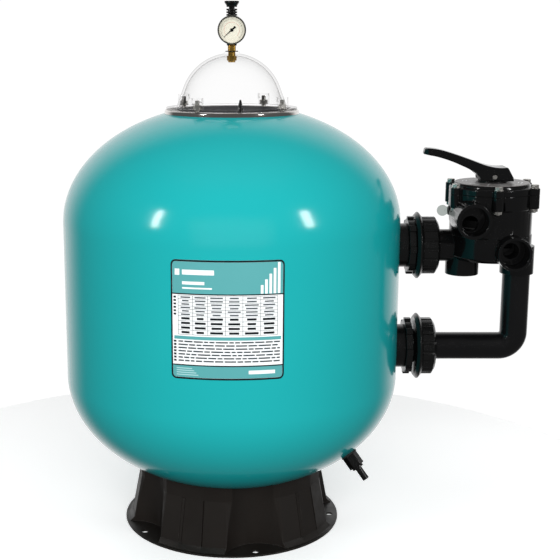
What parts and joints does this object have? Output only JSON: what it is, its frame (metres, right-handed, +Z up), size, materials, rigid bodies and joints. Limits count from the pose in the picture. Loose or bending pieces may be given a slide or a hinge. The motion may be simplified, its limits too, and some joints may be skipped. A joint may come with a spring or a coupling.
{
  "type": "sand filter tank",
  "caption": "Side-mount sand filter tank: ribless teal shell on a niched skirt, clear domed lid with gauge and air bleed, lever valve with return pipe.",
  "frame": {"origin": "on the floor under the tank's axis, at the centre of the skirt's anchor holes", "axes": "+Z up along the tank's axis, +X towards the tank ports and the valve, -Y towards the gauge's and the label's reader"},
  "size_m": [0.8599, 0.6104, 0.9589],
  "materials": {
    "tank_gelcoat": "glossy teal gelcoat over wound glass fibre",
    "dark_polymer": "dark grey moulded neck",
    "polished_steel": "polished stainless steel",
    "bright_steel": "bright stainless steel",
    "seal_rubber": "black seal rubber",
    "skirt_plastic": "fine-grained black plastic",
    "label_film": "satin printed film",
    "clear_lid": "clear moulded polycarbonate",
    "fitting_brass": "turned brass",
    "gauge_steel": "dark enamelled steel",
    "clear_lens": "clear lens",
    "dial_face": "cream printed dial",
    "needle_black": "black needle",
    "black_polymer": "black moulded plastic",
    "pipe_black": "black extruded pipe",
    "valve_black": "glossy black moulded plastic",
    "selector_grey": "grey printed plate",
    "white_polymer": "natural moulded plastic",
    "clear_plug": "translucent plug"
  },
  "bodies": {
    "tank": {"tank_shell": "tank_gelcoat", "neck_collar": "dark_polymer", "neck_ring": "polished_steel", "lid_studs": "bright_steel", "lid_seal": "seal_rubber", "base_skirt": "skirt_plastic", "data_label": "label_film", "bulkhead_upper": "black_polymer", "bulkhead_lower": "black_polymer", "bulkhead_gaskets": "seal_rubber", "bulkhead_spacers": "black_polymer", "bulkhead_nuts": "black_polymer", "union_flange_upper": "black_polymer", "union_flange_lower": "black_polymer", "union_nut_upper": "black_polymer", "union_nut_lower": "black_polymer", "union_seals": "seal_rubber", "return_pipe": "pipe_black", "valve_body": "valve_black", "valve_cover": "valve_black", "cover_seal": "seal_rubber", "stem_seals": "seal_rubber", "cover_bolts": "bright_steel", "cover_washers": "bright_steel", "cover_nuts": "bright_steel", "selector_plate": "selector_grey", "spider_gasket": "seal_rubber", "rotor_spring": "bright_steel", "inlet_pipe": "white_polymer", "diffuser": "white_polymer", "outlet_pipe": "white_polymer", "lateral_hub": "white_polymer", "laterals": "white_polymer", "air_tube": "black_polymer", "drain_body": "black_polymer", "drain_seal": "seal_rubber", "drain_nut": "black_polymer"},
    "lid": {"lid_dome": "clear_lid", "lid_washers": "bright_steel", "lid_nuts": "bright_steel", "gauge_adaptor": "fitting_brass", "adaptor_nut": "fitting_brass", "adaptor_seal": "seal_rubber", "gauge_stem": "fitting_brass", "gauge_case": "gauge_steel", "gauge_bezel": "gauge_steel", "gauge_lens": "clear_lens", "gauge_dial": "dial_face", "bourdon_tube": "fitting_brass", "bleed_body": "black_polymer"},
    "needle": {"gauge_needle": "needle_black"},
    "bleed_screw_rise": {"bleed_seal": "seal_rubber"},
    "bleed_knob": {"bleed_knob": "black_polymer"},
    "selector": {"turn_washer": "white_polymer"},
    "rotor": {"rotor": "black_polymer", "handle_pin": "bright_steel"},
    "lever": {"handle": "valve_black"},
    "wing_plug": {"wing_plug": "clear_plug"},
    "drain_spout": {"drain_spigot": "black_polymer"}
  },
  "joints": [
    {"name": "lid_lift", "type": "slide", "parent": "tank", "child": "lid", "axis": [0, 0, 1], "range_m": [0, 0.15]},
    {"name": "gauge_needle_turn", "type": "hinge", "parent": "lid", "child": "needle", "pos_m": [0, -0.013, 0.90844], "axis": [0, 1, 0], "range_deg": [0, 270]},
    {"name": "bleed_knob_rise", "type": "slide", "parent": "lid", "child": "bleed_screw_rise", "axis": [0, 0, 1], "range_m": [0, 0.003]},
    {"name": "bleed_knob_turn", "type": "hinge", "parent": "bleed_screw_rise", "child": "bleed_knob", "pos_m": [0, 0.017, 0.94844], "axis": [0, 0, 1], "range_deg": [0, 725]},
    {"name": "selector_turn", "type": "hinge", "parent": "tank", "child": "selector", "pos_m": [0.4724, 0, 0.6395], "axis": [0, 0, 1], "continuous": true},
    {"name": "rotor_rise", "type": "slide", "parent": "selector", "child": "rotor", "axis": [0, 0, 1], "range_m": [0, 0.00598], "stiffness_N_per_m": 400, "springref_m": -0.008, "deforming": ["rotor_spring"]},
    {"name": "lever_tilt", "type": "hinge", "parent": "rotor", "child": "lever", "pos_m": [0.4724, 0, 0.65], "axis": [0, -1, 0], "range_deg": [0, 16.5]},
    {"name": "wing_plug_turn", "type": "hinge", "parent": "tank", "child": "wing_plug", "pos_m": [0.394, 0, 0.587], "axis": [-1, 0, 0], "range_deg": [0, 180]},
    {"name": "drain_spout_turn", "type": "hinge", "parent": "tank", "child": "drain_spout", "pos_m": [0.22632, -0.11532, 0.13801], "axis": [0.5707, -0.2908, -0.7679], "range_deg": [0, 360]}
  ],
  "couplings": [
    {"joint": "bleed_knob_turn", "follows": "bleed_knob_rise", "rad_per_m": 4188.8},
    {"joint": "lever_tilt", "follows": "rotor_rise", "rad_per_m": 46.729}
  ]
}
